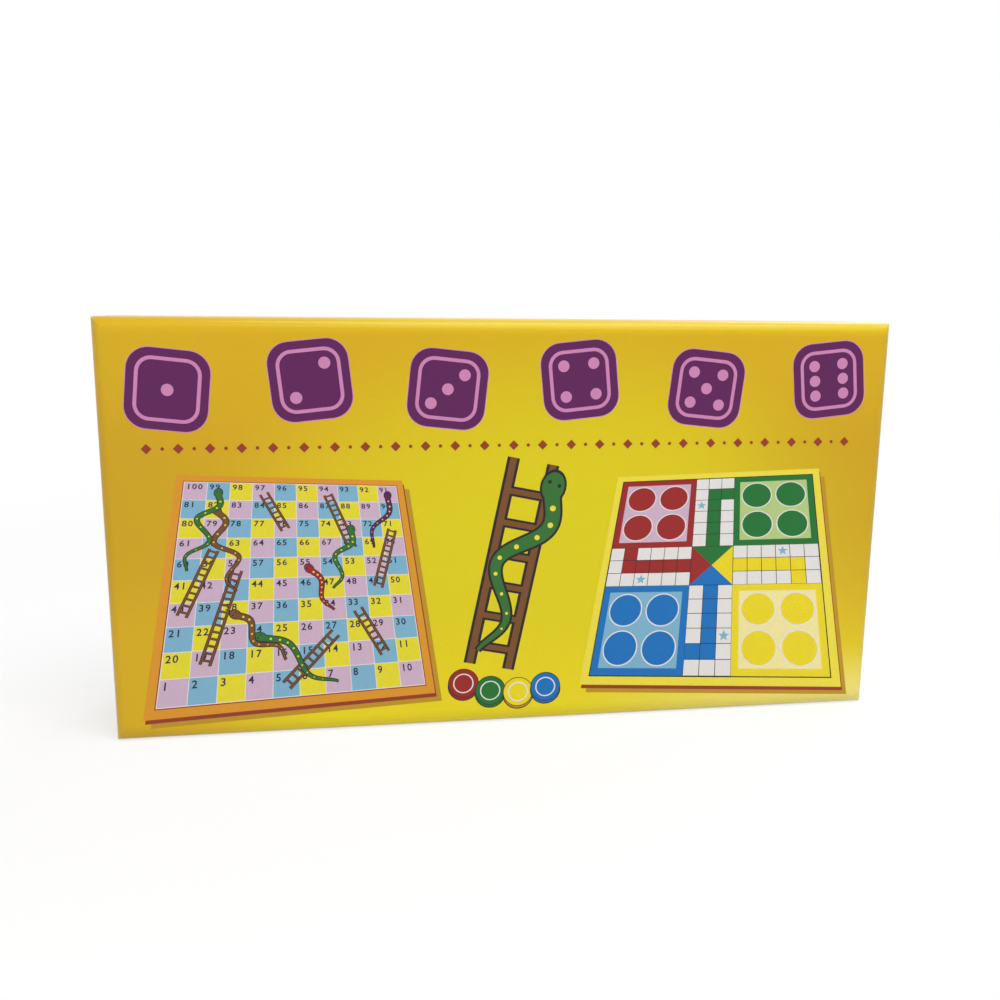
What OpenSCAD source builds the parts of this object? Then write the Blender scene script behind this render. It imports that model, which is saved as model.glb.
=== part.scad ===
// Boxed folding game board: a carton with a lift-off lid, a two-leaf board with a snakes and
// ladders grid on its inner faces and a ludo cross on its outer faces, and a formed insert that
// seats sixteen counters, four pawns and a die. Everything is drawn lying on the carton's back,
// lid upwards, and then stood on the long lower wall. Millimetres.

/* [Board] */
// Side of the square board when it lies open
board_side = 260; // [220:1:300]
// Thickness of each leaf's greyboard core
core_t = 1.6; // [1:0.1:2.4]
// Thickness of a printed sheet
sheet_t = 0.2; // [0.1:0.05:0.4]
// Corner radius of the board
board_corner_r = 4; // [1:0.5:8]
// Margin from the edge of the board to the edge of the ludo sheets
ludo_inset = 1; // [0.5:0.25:3]
// Gap between the two printed faces when the board is folded
fold_gap = 0.1; // [0.05:0.05:0.4]
// Distance that each core stops short of the crease
crease_gap = 0.3; // [0.2:0.05:0.8]

/* [Carton] */
// Thickness of the lid's boxboard
lid_t = 0.8; // [0.5:0.1:1.4]
// Thickness of the tray's boxboard
tray_t = 0.8; // [0.5:0.1:1.4]
// Inside radius of the folds round the lid's panel
lid_crease_r = 2.2; // [0.4:0.1:3]
// Inside radius of the folds round the tray's panel
tray_crease_r = 0.6; // [0.4:0.1:2]
// Sliding clearance between the lid and the tray
slip = 0.4; // [0.3:0.05:0.8]
// How far the lid's rim stops short of the tray's back
rim_reveal = 1.5; // [0.5:0.25:6]
// Clearance between the tray's rim and the lid's folds
rim_clear = 0.3; // [0.2:0.05:1]
// Room between the folded board and the tray's rim
rim_room = 0.2; // [0.1:0.05:1]
// Room at each end of the board
end_play = 3; // [1:0.25:6]
// Room above and below the board, beside the glue tabs
edge_play = 2.2; // [0.8:0.1:4]
// Length of the glue tabs at the corners
tab_l = 18; // [10:1:30]
// How far the glue tabs stop short of the rim
tab_short = 3; // [1:0.5:8]
// Slant cut off each end of a glue tab
tab_slant = 4; // [1:0.5:6]

/* [Insert] */
// Depth of the insert, from the tray's panel to the deck
insert_depth = 33.2; // [26:0.2:44]
// Thickness of the formed sheet
insert_t = 0.6; // [0.4:0.05:1]
// Corner radius of the insert
insert_corner_r = 6; // [3:0.5:12]
// Clearance between the insert and the tray
insert_play = 0.5; // [0.3:0.05:1]
// Clearance between the deck and the board
deck_gap = 0.3; // [0.2:0.05:1]
// Clearance round each playing piece in its well
piece_play = 0.3; // [0.2:0.05:0.8]
// Room above each playing piece in its well
head_room = 5.6; // [5:0.1:7]
// Draft of the round wells, in degrees
well_draft = 3; // [1:0.5:6]
// Land between neighbouring wells
well_land = 8; // [5:0.5:12]
// Land between the blocks of counters, die and pawns
block_land = 20; // [18:0.5:24]
// Corner radius of the square wells
well_corner_r = 2; // [1:0.25:4]
// Width of the finger channels
finger_w = 13; // [10:0.5:15]
// Depth of the finger channels
finger_depth = 14; // [9:0.5:18]
// How far the finger channels reach past the wells
finger_reach = 8; // [7:0.5:9]
// Length of the stiffening grooves
groove_l = 190; // [120:1:200]
// Width of the stiffening grooves
groove_w = 8; // [5:0.5:12]
// Depth of the stiffening grooves
groove_depth = 4; // [2:0.25:8]
// Distance of the grooves from the edge of the deck
groove_margin = 16; // [12:0.5:18]

/* [Counters] */
// Diameter of a counter
counter_d = 22; // [18:0.5:26]
// Thickness of a counter
counter_t = 3; // [2:0.1:4]
// Radius of a counter's round edge
counter_edge_r = 0.8; // [0.4:0.1:0.9]
// Diameter of the dished middle of a counter
dish_d = 16; // [14:0.25:17]
// Depth of the dish on each side
dish_depth = 0.5; // [0.2:0.05:0.7]
// Diameter of the raised ring in the dish
ring_d = 9; // [6:0.25:11]
// Width of the raised ring
ring_w = 1; // [0.6:0.1:2]
// Gap between the counters of a stack
stack_gap = 0.1; // [0.05:0.05:0.3]

/* [Pawns] */
// Height of a pawn
pawn_h = 26; // [24:0.25:30]
// Diameter of a pawn's foot
pawn_d = 14; // [12:0.25:16]
// Thickness of the foot
foot_t = 2; // [1.4:0.1:3]
// Step from the foot in to the bell
foot_step = 0.8; // [0.4:0.1:1.4]
// Diameter of the neck
neck_d = 5.2; // [4:0.1:6.5]
// Height of the bell from the foot to the collar
bell_h = 12; // [9:0.25:13]
// Diameter of the collar
collar_d = 9.2; // [8:0.1:11]
// Thickness of the collar
collar_t = 1.6; // [1:0.1:2.4]
// Diameter of the round head
head_d = 10.8; // [9.5:0.1:13]

/* [Die] */
// Side of the die
die_side = 16; // [14:0.25:18]
// Radius of the die's edges
die_edge_r = 1.6; // [0.8:0.1:2.4]
// Radius of the ball that rounds the die's corners
die_corner_r = 11.2; // [10.8:0.1:13]
// Radius of the ball that sinks each pip
pip_r = 1.8; // [1.2:0.1:2.2]
// Depth of the pips
pip_depth = 0.6; // [0.3:0.05:0.8]
// Distance of the outer pips from the middle of a face
pip_pitch = 4.2; // [3.6:0.1:4.4]

/* [Hidden] */
$fn = 64;
// How far a cut runs past what it cuts
overrun = 1;
// Clearance of what stands or lies on its seat
seat_gap = 0.2;
// Width and depth of the seam at each glued corner
seam_w = 0.15;
seam_depth = 0.3;
// Counters of each colour
stack_count = 4;
// Colours of the playing pieces: red, green, yellow and blue
colours = ["red", "green", "yellow", "blue"];
paints = ["#8e2723", "#1d7030", "#d8c41e", "#0a5fa8"];

// Levels above the carton's back
leaf_t = core_t + 2 * sheet_t;
deck_z = tray_t + insert_depth;
board_z = deck_z + deck_gap;
fold_z = board_z + leaf_t + fold_gap / 2;
tray_depth = fold_z + fold_gap / 2 + leaf_t + rim_room;
// Room over the tray's rim, which keeps it clear of the inside of the lid's folds
fold_rise = sqrt(max(0, (lid_crease_r - rim_clear) ^ 2 - (lid_crease_r - slip) ^ 2));
lid_room = max(rim_clear, lid_crease_r - fold_rise);
carton_d = tray_depth + lid_room + lid_t;

// Widths and heights, from the board outwards
leaf_h = board_side / 2;
tray_in_w = board_side + 2 * end_play;
tray_in_h = leaf_h + 2 * edge_play + 2 * tray_t;
tray_w = tray_in_w + 2 * tray_t;
tray_h = tray_in_h + 2 * tray_t;
carton_w = tray_w + 2 * slip + 2 * lid_t;
carton_h = tray_h + 2 * slip + 4 * lid_t;
mid_y = carton_h / 2;
seat_y = mid_y - tray_in_h / 2 + tray_t + seat_gap;
fold_y = seat_y + leaf_h;
insert_w = tray_in_w - 2 * insert_play;
insert_h = tray_in_h - 2 * tray_t - 2 * insert_play;

// Wells, from the pieces that they seat
stack_h = stack_count * counter_t + (stack_count - 1) * stack_gap;
counter_well_depth = stack_h + seat_gap + head_room;
counter_well_r = counter_d / 2 + piece_play;
counter_mouth_r = counter_well_r + counter_well_depth * tan(well_draft);
counter_pitch = 2 * counter_mouth_r + well_land;
counter_block_w = counter_pitch + 2 * counter_mouth_r;
pawn_well_w = pawn_d + 2 * piece_play;
pawn_well_l = pawn_h + 2 * piece_play;
pawn_well_depth = pawn_d + seat_gap + head_room;
pawn_pitch = pawn_well_w + well_land;
pawn_block_w = len(colours) * pawn_pitch - well_land;
die_well_w = die_side + 2 * piece_play;
die_well_depth = die_side + seat_gap + head_room;
die_x = (counter_block_w - pawn_block_w) / 2;
counters_x = die_x - die_well_w / 2 - block_land - counter_block_w / 2;
pawns_x = die_x + die_well_w / 2 + block_land + pawn_block_w / 2;
groove_y = insert_h / 2 - groove_margin;

// Middle of the well of the counters or the pawn of colour c, seen from the front
function counter_x(c) = counters_x + (c % 2 - 1 / 2) * counter_pitch;
function counter_y(c) = mid_y + (1 / 2 - floor(c / 2)) * counter_pitch;
function pawn_x(c) = pawns_x + (c - (len(colours) - 1) / 2) * pawn_pitch;

// Stands the lying carton on its long lower wall, front panel towards -Y
module stand() {
    translate([0, carton_d / 2, 0])
        rotate([90, 0, 0])
            children();
}

// Rectangle about the origin with round corners
module round_rect(w, h, r) {
    square([w - 2 * r, h], center = true);
    square([w, h - 2 * r], center = true);
    for (x = [-1, 1])
        for (y = [-1, 1])
            translate([x * (w / 2 - r), y * (h / 2 - r)])
                circle(r);
}

// Rectangle about the origin with fully round ends
module round_slot(l, w) {
    square([l - w, w], center = true);
    for (x = [-1, 1])
        translate([x * (l - w) / 2, 0])
            circle(w / 2);
}

// Section across a box of width w and depth d, its two lower corners round
module bent_section(w, d, r) {
    translate([-w / 2, r])
        square([w, d - r]);
    translate([r - w / 2, 0])
        square([w - 2 * r, d]);
    for (x = [-1, 1])
        translate([x * (w / 2 - r), r])
            circle(r);
}

// Block whose four lower edges are bent to radius r
module bent_block(w, h, d, r) {
    intersection() {
        rotate([90, 0, 0])
            linear_extrude(h, center = true)
                bent_section(w, d, r);
        rotate([90, 0, 90])
            linear_extrude(w, center = true)
                bent_section(h, d, r);
    }
}

// Glue tab of a short wall, lying on the inside of a long wall from the end of its fold
module glue_tab(d, t, crease_r) {
    rotate([90, 0, 0])
        linear_extrude(t)
            polygon([
                [0, t + crease_r],
                [-tab_l, t + crease_r + tab_slant],
                [-tab_l, d - tab_short - tab_slant],
                [0, d - tab_short]
            ]);
}

// Box folded from one blank: a panel below, four walls and a glued tab at each end of the short walls
module folded_box(w, h, d, t, crease_r) {
    difference() {
        bent_block(w, h, d, crease_r + t);
        translate([0, 0, t])
            bent_block(w - 2 * t, h - 2 * t, d, crease_r);
        for (x = [-1, 1])
            for (y = [-1, 1])
                translate([x * w / 2, y * (h / 2 - t), crease_r + t + d / 2])
                    cube([2 * seam_depth, seam_w, d], center = true);
    }
    for (x = [0, 1])
        for (y = [0, 1])
            mirror([x, 0, 0])
                mirror([0, y, 0])
                    translate([w / 2 - t, h / 2 - t, 0])
                        glue_tab(d, t, crease_r);
}

module base_tray() {
    color("gainsboro")
        stand()
            translate([0, mid_y, 0])
                folded_box(tray_w, tray_h, tray_depth, tray_t, tray_crease_r);
}

module lid() {
    color("#dcc128")
        stand()
            translate([0, mid_y, carton_d])
                mirror([0, 0, 1])
                    folded_box(carton_w, carton_h, carton_d - rim_reveal, lid_t, lid_crease_r);
}

// Every hollow of the insert, grown outwards by the sheet's thickness to make its walls
module insert_hollows(grow) {
    top = grow > 0 ? 0 : overrun;
    for (c = [0 : len(colours) - 1]) {
        translate([counter_x(c), counter_y(c), deck_z - counter_well_depth - grow])
            cylinder(
                counter_well_depth + grow + top,
                counter_well_r + grow,
                counter_well_r + grow + (counter_well_depth + grow + top) * tan(well_draft)
            );
        translate([pawn_x(c), mid_y, deck_z - pawn_well_depth - grow])
            linear_extrude(pawn_well_depth + grow + top)
                round_rect(pawn_well_w + 2 * grow, pawn_well_l + 2 * grow, well_corner_r + grow);
    }
    translate([die_x, mid_y, deck_z - die_well_depth - grow])
        linear_extrude(die_well_depth + grow + top)
            round_rect(die_well_w + 2 * grow, die_well_w + 2 * grow, well_corner_r + grow);
    for (y = [counter_y(0), counter_y(2)])
        channel(counters_x, y, counter_block_w + 2 * finger_reach, finger_w, finger_depth, grow, top);
    channel(pawns_x, mid_y, pawn_block_w + 2 * finger_reach, finger_w, finger_depth, grow, top);
    channel(die_x, mid_y, die_well_w + 2 * finger_reach, finger_w, finger_depth, grow, top);
    for (y = [-1, 1])
        channel(0, mid_y + y * groove_y, groove_l, groove_w, groove_depth, grow, top);
}

// One round-ended channel sunk into the deck
module channel(x, y, l, w, depth, grow, top) {
    translate([x, y, deck_z - depth - grow])
        linear_extrude(depth + grow + top)
            round_slot(l + 2 * grow, w + 2 * grow);
}

module insert_tray() {
    color("whitesmoke")
        stand()
            difference() {
                union() {
                    translate([0, mid_y, tray_t])
                        difference() {
                            linear_extrude(insert_depth)
                                round_rect(insert_w, insert_h, insert_corner_r);
                            translate([0, 0, -overrun])
                                linear_extrude(insert_depth - insert_t + overrun)
                                    round_rect(
                                        insert_w - 2 * insert_t,
                                        insert_h - 2 * insert_t,
                                        insert_corner_r - insert_t
                                    );
                        }
                    insert_hollows(insert_t);
                }
                insert_hollows(0);
            }
}

// Outline of one leaf, from its lower edge at y = 0 up to the crease, round at the two lower corners
module leaf_outline(w, h, r) {
    translate([-w / 2, r])
        square([w, h - r]);
    translate([r - w / 2, 0])
        square([w - 2 * r, h]);
    for (x = [-1, 1])
        translate([x * (w / 2 - r), r])
            circle(r);
}

// Core of a leaf, set in from the outline by the sheet that wraps its edges
module leaf_core() {
    translate([0, sheet_t, 0])
        linear_extrude(core_t)
            leaf_outline(board_side - 2 * sheet_t, leaf_h - sheet_t - crease_gap, board_corner_r - sheet_t);
}

// Printed sheet of the grid face: flat on the core, and turned over its three outer edges
module wrapped_sheet() {
    difference() {
        linear_extrude(core_t + sheet_t)
            leaf_outline(board_side, leaf_h, board_corner_r);
        translate([0, sheet_t, -overrun])
            linear_extrude(core_t + overrun)
                leaf_outline(board_side - 2 * sheet_t, leaf_h, board_corner_r - sheet_t);
    }
}

// Printed sheet of the ludo face, a little smaller than the leaf
module flat_sheet() {
    translate([0, ludo_inset, 0])
        linear_extrude(sheet_t)
            leaf_outline(
                board_side - 2 * ludo_inset,
                leaf_h - ludo_inset - crease_gap,
                board_corner_r
            );
}

// Places a piece of a leaf: the back leaf as drawn, the front leaf turned over onto it
module on_back_leaf() {
    stand()
        translate([0, seat_y, board_z])
            children();
}

module on_front_leaf() {
    stand()
        translate([0, seat_y, 2 * fold_z - board_z])
            mirror([0, 0, 1])
                children();
}

module back_leaf() {
    color("#8b8478")
        on_back_leaf()
            translate([0, 0, sheet_t])
                leaf_core();
}

module front_leaf() {
    color("#8b8478")
        on_front_leaf()
            translate([0, 0, sheet_t])
                leaf_core();
}

module snakes_sheet_back() {
    color("#d9a0a8")
        on_back_leaf()
            translate([0, 0, sheet_t])
                wrapped_sheet();
}

module snakes_sheet_front() {
    color("#d9a0a8")
        on_front_leaf()
            translate([0, 0, sheet_t])
                wrapped_sheet();
}

module ludo_sheet_back() {
    color("#e4d24a")
        on_back_leaf()
            flat_sheet();
}

module ludo_sheet_front() {
    color("#e4d24a")
        on_front_leaf()
            flat_sheet();
}

// Half section of a counter: round edge, and a dish with a raised ring on each face
module counter_section() {
    r = counter_d / 2;
    difference() {
        union() {
            square([r - counter_edge_r, counter_t]);
            translate([0, counter_edge_r])
                square([r, counter_t - 2 * counter_edge_r]);
            for (z = [counter_edge_r, counter_t - counter_edge_r])
                translate([r - counter_edge_r, z])
                    circle(counter_edge_r);
        }
        for (z = [-overrun, counter_t - dish_depth]) {
            translate([-overrun, z])
                square([ring_d / 2 - ring_w + overrun, dish_depth + overrun]);
            translate([ring_d / 2, z])
                square([(dish_d - ring_d) / 2, dish_depth + overrun]);
        }
    }
}

// Counter i of colour c, counted from the floor of its well
module counter(c, i) {
    level = deck_z - counter_well_depth + seat_gap + (i - 1) * (counter_t + stack_gap);
    color(paints[c])
        stand()
            translate([counter_x(c), counter_y(c), level])
                rotate_extrude()
                    counter_section();
}

// Disc section with a fully round edge, standing on the axis
module rounded_disc(d, t) {
    square([d / 2 - t / 2, t]);
    translate([d / 2 - t / 2, t / 2])
        circle(t / 2);
}

// Half section of a pawn: foot, hollow bell, collar and round head
module pawn_section() {
    shoulder_r = pawn_d / 2 - foot_step;
    flare = shoulder_r - neck_d / 2;
    bell_r = (flare * flare + bell_h * bell_h) / (2 * flare);
    rounded_disc(pawn_d, foot_t);
    translate([0, foot_t])
        difference() {
            square([shoulder_r, bell_h]);
            translate([neck_d / 2 + bell_r, bell_h])
                circle(bell_r);
        }
    translate([0, foot_t + bell_h])
        rounded_disc(collar_d, collar_t);
    square([neck_d / 2, pawn_h - head_d / 2]);
    intersection() {
        translate([0, pawn_h - head_d / 2])
            circle(head_d / 2);
        square([head_d, pawn_h]);
    }
}

// Pawn of colour c, lying in its well with its foot on the lower end
module pawn(c) {
    level = deck_z - pawn_well_depth + seat_gap + pawn_d / 2;
    color(paints[c])
        stand()
            translate([pawn_x(c), mid_y - pawn_h / 2, level])
                rotate([-90, 0, 0])
                    rotate_extrude()
                        pawn_section();
}

// Places of the pips on a face, as steps of the pitch
function pip_steps(n) = concat(
    n % 2 == 1 ? [[0, 0]] : [],
    n > 1 ? [[-1, -1], [1, 1]] : [],
    n > 3 ? [[-1, 1], [1, -1]] : [],
    n == 6 ? [[-1, 0], [1, 0]] : []
);

// The balls that sink the pips of number n into the upper face of the die
module pips(n) {
    for (p = pip_steps(n))
        translate([p[0] * pip_pitch, p[1] * pip_pitch, die_side / 2 + pip_r - pip_depth])
            sphere(pip_r);
}

module die() {
    color("#a02a26")
        stand()
            translate([die_x, mid_y, deck_z - die_well_depth + seat_gap + die_side / 2])
                difference() {
                    intersection() {
                        soft_cube(die_side, die_edge_r);
                        sphere(die_corner_r);
                    }
                    pips(3);
                    rotate([180, 0, 0])
                        pips(4);
                    rotate([90, 0, 0])
                        pips(2);
                    rotate([-90, 0, 0])
                        pips(5);
                    rotate([0, 90, 0])
                        pips(1);
                    rotate([0, -90, 0])
                        pips(6);
                }
}

// Cube whose edges are rounded along all three axes
module soft_cube(side, r) {
    intersection_for(turn = [[0, 0, 0], [90, 0, 0], [0, 90, 0]])
        rotate(turn)
            linear_extrude(side, center = true)
                round_rect(side, side, r);
}

base_tray();
insert_tray();
lid();
back_leaf();
front_leaf();
snakes_sheet_back();
snakes_sheet_front();
ludo_sheet_back();
ludo_sheet_front();
for (c = [0 : len(colours) - 1]) {
    for (i = [1 : stack_count])
        counter(c, i);
    pawn(c);
}
die();
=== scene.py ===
# %% [markdown]
# # A boxed snakes and ladders board
# The object is a printed carton with a lift-off lid, standing on its long edge. Inside lie a
# folding board, a formed insert and the playing pieces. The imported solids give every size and
# place; this file adds what a solid lacks: print, gloss, fibre, wear and soft edges.

# %% Load the frame
import math

import bpy
import bmesh
import numpy as np
from mathutils import Matrix, Vector
from mathutils.geometry import delaunay_2d_cdt


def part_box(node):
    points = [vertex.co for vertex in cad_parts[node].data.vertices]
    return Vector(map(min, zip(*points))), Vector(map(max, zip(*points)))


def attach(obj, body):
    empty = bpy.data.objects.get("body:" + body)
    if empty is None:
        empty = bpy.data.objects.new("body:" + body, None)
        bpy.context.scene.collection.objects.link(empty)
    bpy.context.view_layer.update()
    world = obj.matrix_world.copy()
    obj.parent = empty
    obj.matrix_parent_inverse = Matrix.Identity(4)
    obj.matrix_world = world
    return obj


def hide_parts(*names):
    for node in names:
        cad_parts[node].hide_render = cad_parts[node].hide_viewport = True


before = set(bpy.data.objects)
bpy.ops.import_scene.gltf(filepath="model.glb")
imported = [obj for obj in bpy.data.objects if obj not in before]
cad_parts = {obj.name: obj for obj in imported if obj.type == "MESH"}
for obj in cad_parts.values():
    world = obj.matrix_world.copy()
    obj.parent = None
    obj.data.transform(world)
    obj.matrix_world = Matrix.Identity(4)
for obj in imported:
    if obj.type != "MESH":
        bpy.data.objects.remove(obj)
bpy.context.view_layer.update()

# %% [markdown]
# ## Sizes taken from the frame
# Lengths in this file are metres, as in the frame, and `MM` turns millimetres into them. The lid
# gives the printed panel, and the wrapped sheet gives the size of the folding board.

# %% Sizes
MM = 0.001
lid_low, lid_high = (np.array(corner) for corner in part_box("lid"))
panel_w = lid_high[0] - lid_low[0]
panel_h = lid_high[2] - lid_low[2]
panel_y = lid_low[1]
tray_low, tray_high = (np.array(corner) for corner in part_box("base_tray"))
leaf_low, leaf_high = (np.array(corner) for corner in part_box("snakes_sheet_back"))
board_side = leaf_high[0] - leaf_low[0]
leaf_h = leaf_high[2] - leaf_low[2]
print(f"panel {panel_w / MM:.1f} x {panel_h / MM:.1f} mm, board {board_side / MM:.1f} mm square")

# %% [markdown]
# ## Camera
# The four corners of the front panel, read off the photograph, fix the lens and the place of the
# camera: it is held about level with the top of the box and left of its middle, turned to the
# right, tipped down and slightly rolled. A camera looks along its own -Z, so it is first raised by
# a quarter turn.

# %% Camera
LENS_MM = 36.1
SENSOR_MM = 36.0
camera_place = Vector((-56.9, -354.1, 145.0)) * MM
turn_right, tip_down, roll = (math.radians(angle) for angle in (8.916, 10.78, 0.573))


def add_object(name, data):
    """A new object with this mesh, light or camera, linked to the scene."""
    made = bpy.data.objects.new(name, data)
    bpy.context.scene.collection.objects.link(made)
    return made


camera_data = bpy.data.cameras.new("photo_camera")
camera_data.lens = LENS_MM
camera_data.sensor_width = SENSOR_MM
camera = add_object("photo_camera", camera_data)
camera.matrix_world = (
    Matrix.Translation(camera_place)
    @ Matrix.Rotation(-turn_right, 4, "Z")
    @ Matrix.Rotation(math.pi / 2 - tip_down, 4, "X")
    @ Matrix.Rotation(roll, 4, "Z")
)
bpy.context.scene.camera = camera
bpy.context.scene.view_settings.view_transform = "Standard"
print("camera at", [round(v / MM, 1) for v in camera_place], "mm")

# %% [markdown]
# ## Shader maths as Python
# A material is a graph of nodes. Written out node by node it is hard to read, so one small class
# wraps a socket: `a * b + 1` then adds two Math nodes, and `node` adds any other kind.


# %% A socket that takes part in sums
class Shade:
    """A shader socket used like a number: each operator adds one Math node to its tree."""

    def __init__(self, tree, socket=None):
        self.tree = tree
        self.socket = socket

    def node(self, kind, settings, inputs, output=0):
        """Adds one node: its settings first, then the values or links of its sockets."""
        made = self.tree.nodes.new(kind)
        for name, value in settings.items():
            setattr(made, name, value)
        for name, value in inputs.items():
            if isinstance(value, Shade):
                self.tree.links.new(value.socket, made.inputs[name])
            else:
                made.inputs[name].default_value = value
        return Shade(self.tree, made.outputs[output])

    def math(self, operation, *values):
        """One Math node on these values, which may be sockets or numbers."""
        return self.node("ShaderNodeMath", {"operation": operation}, dict(enumerate(values)))

    def __add__(self, other):
        return self.math("ADD", self, other)

    def __sub__(self, other):
        return self.math("SUBTRACT", self, other)

    def __rsub__(self, other):
        return self.math("SUBTRACT", other, self)

    def __mul__(self, other):
        return self.math("MULTIPLY", self, other)

    def __truediv__(self, other):
        return self.math("DIVIDE", self, other)

    def __rtruediv__(self, other):
        return self.math("DIVIDE", other, self)

    def __abs__(self):
        return self.math("ABSOLUTE", self)

    __radd__ = __add__
    __rmul__ = __mul__

    def most(self, other):
        return self.math("MAXIMUM", self, other)

    def least(self, other):
        return self.math("MINIMUM", self, other)

    def root(self):
        return self.math("SQRT", self)

    def rise(self, low, high):
        """0 below low, 1 above high, and a smooth step between them."""
        ends = {"Value": self, "From Min": low, "From Max": high}
        return self.node("ShaderNodeMapRange", {"interpolation_type": "SMOOTHSTEP"}, ends)

    def axes(self):
        """The x, y and z of a vector socket."""
        return [self.node("ShaderNodeSeparateXYZ", {}, {0: self}, axis) for axis in "XYZ"]

    def noise(self, size, detail=2.0):
        """Noise of about this feature size in metres, from 0 to 1, on a vector socket."""
        inputs = {"Vector": self, "Scale": 1.0 / size, "Detail": detail}
        return self.node("ShaderNodeTexNoise", {}, inputs)

    def mix(self, low, high):
        """Colour between low and high, with this socket as the share of high."""
        inputs = {0: self, 6: low, 7: high}
        return self.node("ShaderNodeMix", {"data_type": "RGBA"}, inputs, 2)

    def vary(self, colour, spread):
        """The colour, darker to lighter by this spread as the socket goes from 0 to 1."""
        return self.mix(shade_of(colour, 1.0 - spread), shade_of(colour, 1.0 + spread))

    def bump(self, height, under=None):
        """Normal of a surface raised by this socket times height; under is the normal below it."""
        inputs = {"Height": self, "Distance": height, "Strength": 1.0}
        if under:
            inputs["Normal"] = under
        return self.node("ShaderNodeBump", {}, inputs)


def screen_rgb(red, green, blue):
    """A colour given as it looks on screen, 0 to 255, as the linear values that shaders use."""
    share = np.array([red, green, blue]) / 255.0
    linear = np.where(share <= 0.04045, share / 12.92, ((share + 0.055) / 1.055) ** 2.4)
    return (*(float(v) for v in linear), 1.0)


def shade_of(colour, factor):
    """The same colour, darker or lighter by a factor."""
    return (*(min(1.0, factor * v) for v in colour[:3]), 1.0)


def finish(name, constants, look):
    """A Principled material: constants go on its sockets, look(place) gives the varying ones."""
    material = bpy.data.materials.new(name)
    material.use_nodes = True
    tree = material.node_tree
    shader = tree.nodes["Principled BSDF"]
    for socket, value in constants.items():
        shader.inputs[socket].default_value = value
    place = Shade(tree).node("ShaderNodeTexCoord", {}, {}, "Object")
    for socket, value in look(place).items():
        tree.links.new(value.socket, shader.inputs[socket])
    return material


def dress(nodes, material):
    """Gives the named solids one material."""
    for name in nodes:
        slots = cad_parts[name].data.materials
        slots.clear()
        slots.append(material)


# %% [markdown]
# ## Stage and light
# The box stands on a white sweep. The floor is a plain matt white that still takes the shadow;
# to the camera it is mixed with a flat white, more of it further away, so that floor and sky meet
# without a line. One broad soft light hangs above and in front, weaker ones fill from the left and
# from the right behind, so that all sides keep their colours, and a pale sky does the rest.

# %% Stage and light
WHITE = (1.0, 1.0, 1.0, 1.0)
FLOOR_SIZE = 12.0
FLOOR_WHITE = (0.86, 0.86, 0.86, 1.0)
GLOW_NEAR = 0.66
GLOW_REACH = (0.15, 0.6)
SKY_STRENGTH = 0.4
# Place and width in metres, and power in watts.
SOFTBOXES = {
    "overhead_softbox": ((0.25, -0.5, 1.3), 0.9, 15.6),
    "left_fill": ((-0.9, -1.1, 0.5), 0.8, 3.8),
    "back_fill": ((0.9, 0.8, 0.9), 0.9, 6.5),
}


def seen_directly(tree):
    """1 for rays from the camera, or from it by way of gloss or glass, and 0 for the others."""
    kinds = ("Camera", "Glossy", "Transmission")
    rays = [Shade(tree).node("ShaderNodeLightPath", {}, {}, f"Is {kind} Ray") for kind in kinds]
    return rays[0].most(rays[1]).most(rays[2])


def floor_material():
    """Matt white, mixed for the camera with a plain white whose share grows with the distance."""
    material = bpy.data.materials.new("floor_white")
    material.use_nodes = True
    tree = material.node_tree
    tree.nodes.remove(tree.nodes["Principled BSDF"])
    place = Shade(tree).node("ShaderNodeTexCoord", {}, {}, "Object")
    away = place.node("ShaderNodeVectorMath", {"operation": "LENGTH"}, {0: place}, "Value")
    share = seen_directly(tree) * (away.rise(*GLOW_REACH) * (1.0 - GLOW_NEAR) + GLOW_NEAR)
    matt = place.node("ShaderNodeBsdfDiffuse", {}, {"Color": FLOOR_WHITE})
    glow = place.node("ShaderNodeEmission", {}, {"Color": WHITE, "Strength": 1.0})
    both = place.node("ShaderNodeMixShader", {}, {0: share, 1: matt, 2: glow})
    tree.links.new(both.socket, tree.nodes["Material Output"].inputs["Surface"])
    return material


def add_floor():
    """A flat square on the ground."""
    corners = np.array([(-1, -1, 0), (1, -1, 0), (1, 1, 0), (-1, 1, 0)]) * FLOOR_SIZE / 2
    mesh = bpy.data.meshes.new("floor")
    mesh.from_pydata(corners.tolist(), [], [(0, 1, 2, 3)])
    mesh.materials.append(floor_material())
    floor = add_object("floor", mesh)


def add_sky():
    """A pale sky that lights the box, and plain white where it is seen."""
    world = bpy.data.worlds.new("white_sky")
    bpy.context.scene.world = world
    world.use_nodes = True
    tree = world.node_tree
    shader = tree.nodes["Background"]
    shader.inputs["Color"].default_value = WHITE
    strength = seen_directly(tree) * (1.0 - SKY_STRENGTH) + SKY_STRENGTH
    tree.links.new(strength.socket, shader.inputs["Strength"])


def add_softbox(name, place, width, watts):
    """A square area light at place, turned to shine at the middle of the box."""
    data = bpy.data.lights.new(name, "AREA")
    data.shape = "SQUARE"
    data.size = width
    data.energy = watts
    aim = (Vector((0.0, 0.0, panel_h / 2)) - Vector(place)).to_track_quat("-Z", "Y")
    add_object(name, data).matrix_world = Matrix.Translation(place) @ aim.to_matrix().to_4x4()


add_floor()
add_sky()
for lamp_name, settings in SOFTBOXES.items():
    add_softbox(lamp_name, *settings)
print("stage: floor, sky and", len(SOFTBOXES), "softboxes")

# %% [markdown]
# ## Printed board
# The lid is folded from white-lined boxboard, printed and gloss-laminated on the outside. Laminate
# lies over faint paper fibre and over a panel that is never quite flat. The fibre is too fine for
# a mesh and the swell too shallow to need one, so both are bumps. One function gives them, so that
# the yellow ground and every ink on it share the same sheen.

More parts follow.
